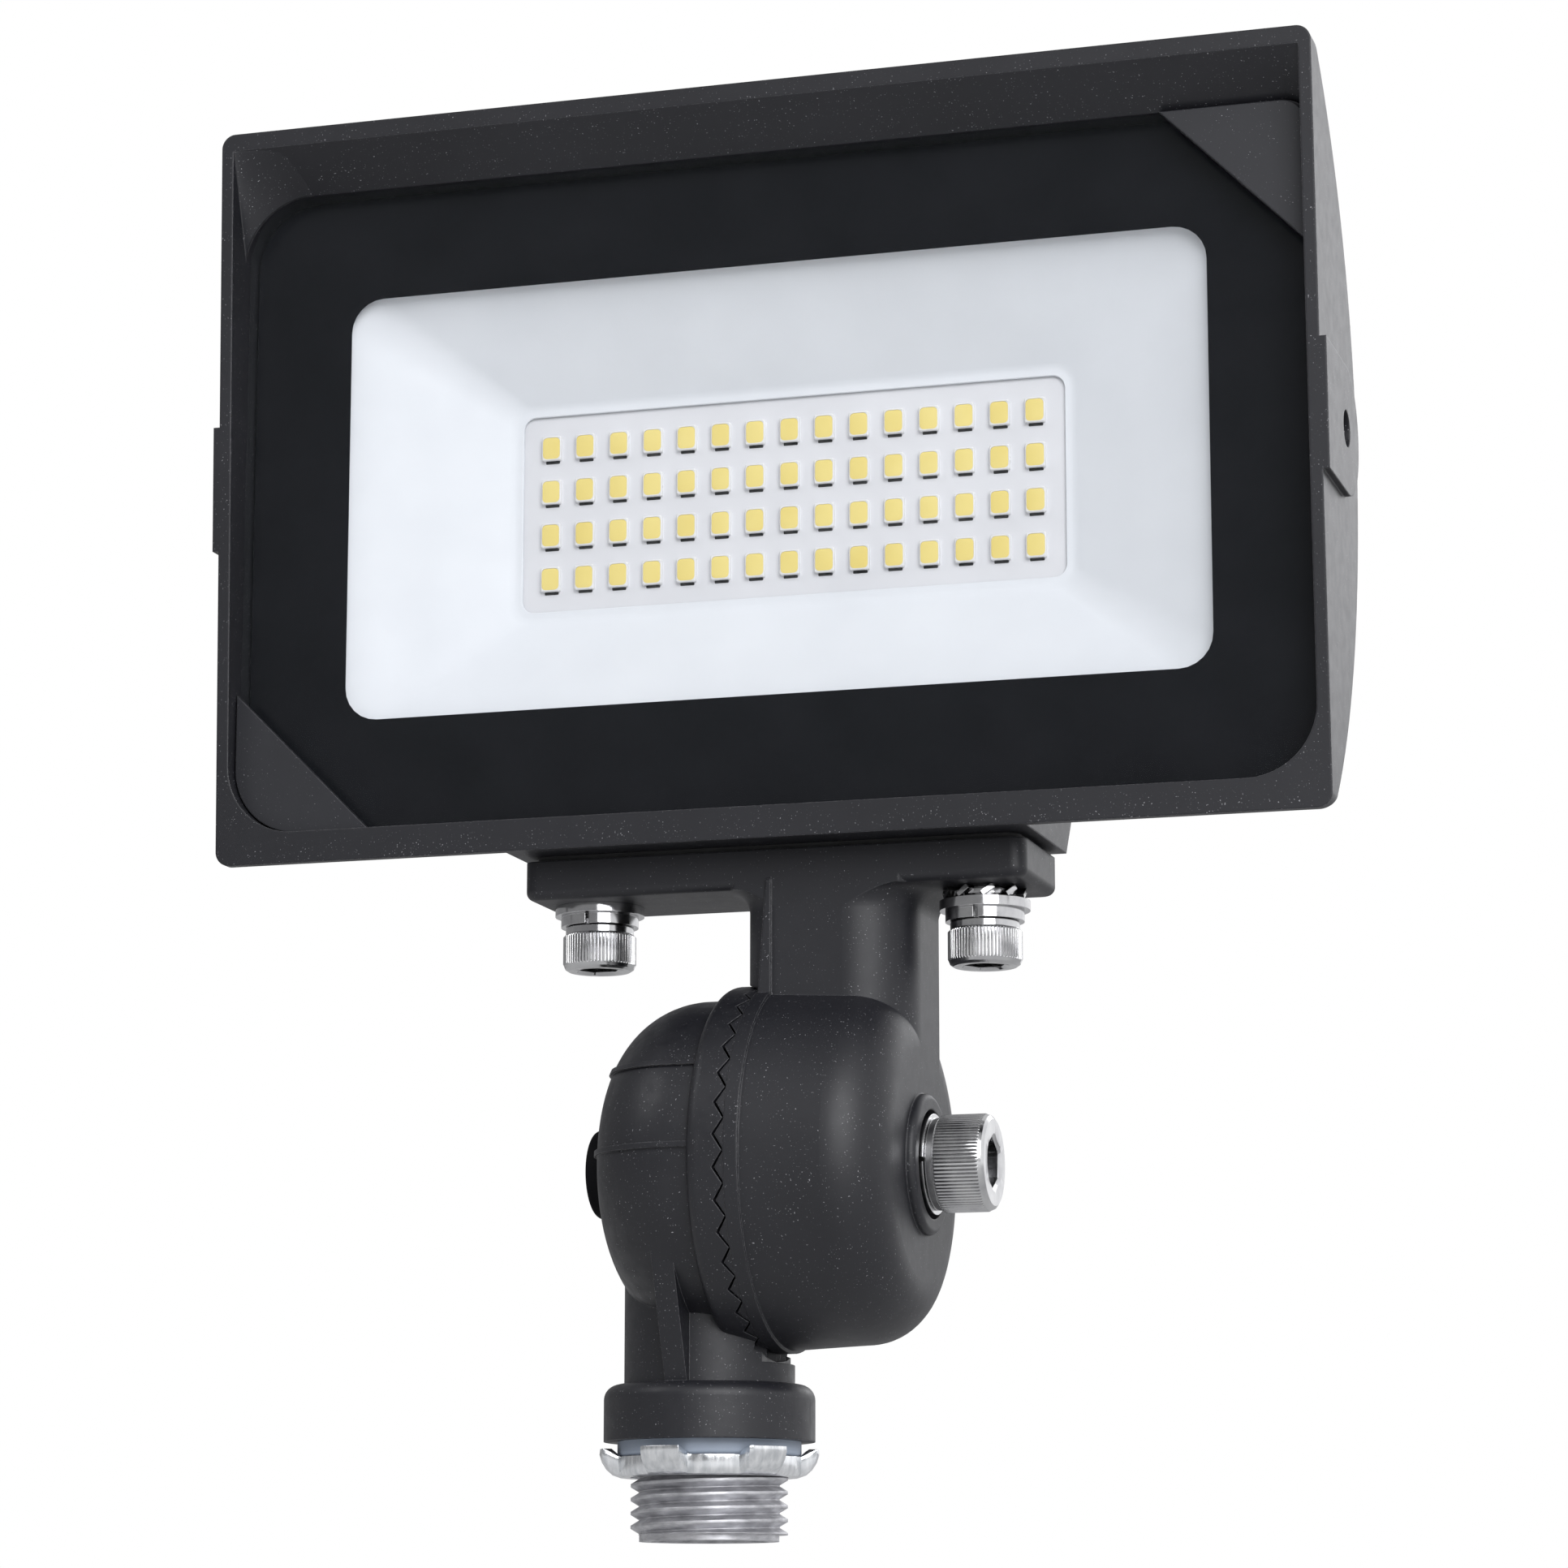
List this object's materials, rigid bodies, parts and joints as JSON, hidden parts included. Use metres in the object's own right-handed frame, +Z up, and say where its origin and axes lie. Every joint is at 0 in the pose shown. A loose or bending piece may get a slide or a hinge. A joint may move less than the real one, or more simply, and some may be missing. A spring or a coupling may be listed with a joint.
{
  "type": "flood light",
  "caption": "LED flood light head with a hooded glass front on a serrated tilt knuckle that screws into a half-inch conduit box.",
  "frame": {"origin": "on the nipple's axis, at the collar's seat face", "axes": "+Z up along the nipple, +X along the tilt axis towards the clamp screw, the light shines towards -Y"},
  "size_m": [0.1564, 0.0492, 0.1951],
  "materials": {
    "cast_coat": "fine textured charcoal powder coat",
    "clip_coat": "satin black",
    "clear_glass": "clear with a black printed border",
    "seal_rubber": "matte",
    "plug_rubber": "satin",
    "ring_rubber": "matte grey",
    "zinc_plate": "zinc plated",
    "stainless": "bright",
    "reflector_white": "satin white",
    "board_white": "white solder mask",
    "led_phosphor": "silicone over phosphor",
    "circuit_board": "solder mask",
    "winding_tape": "tape",
    "can_sleeve": "shrink sleeve",
    "ferrite": "matte"
  },
  "bodies": {
    "base": {"lower_knuckle": "cast_coat", "bolt_plug": "plug_rubber", "knuckle_bolt": "stainless", "knuckle_flat_washer": "stainless", "knuckle_spring_washer": "stainless"},
    "head": {"upper_knuckle": "cast_coat", "rear_housing": "cast_coat", "knuckle_seal": "seal_rubber", "plate_gasket": "seal_rubber", "lens_gasket": "seal_rubber", "plate_bolts": "stainless", "plate_spring_washers": "stainless", "plate_flat_washers": "stainless", "plate_star_washer": "stainless", "board_screws": "stainless", "driver_screws": "stainless", "lens_glass": "clear_glass", "corner_clip_upper_right": "clip_coat", "corner_clip_lower_left": "clip_coat", "reflector": "reflector_white", "led_board": "board_white", "led_chips": "led_phosphor", "driver_board": "circuit_board", "driver_transformer": "winding_tape", "driver_capacitor": "can_sleeve", "driver_inductor": "ferrite", "driver_header": "ferrite"},
    "seal_ring": {"sealing_ring": "ring_rubber"},
    "locknut": {"locknut": "zinc_plate"}
  },
  "joints": [
    {"name": "tilt", "type": "hinge", "parent": "base", "child": "head", "pos_m": [0, 0, 0.0361], "axis": [1, 0, 0], "range_deg": [-90, 90]},
    {"name": "locknut_turn", "type": "hinge", "parent": "base", "child": "seal_ring", "pos_m": [0, 0, 0], "axis": [0, 0, -1], "range_deg": [0, 2160]},
    {"name": "locknut_travel", "type": "slide", "parent": "seal_ring", "child": "locknut", "axis": [0, 0, -1], "range_m": [0, 0.01089]}
  ],
  "couplings": [
    {"joint": "locknut_travel", "follows": "locknut_turn", "m_per_rad": 0.00028871}
  ]
}
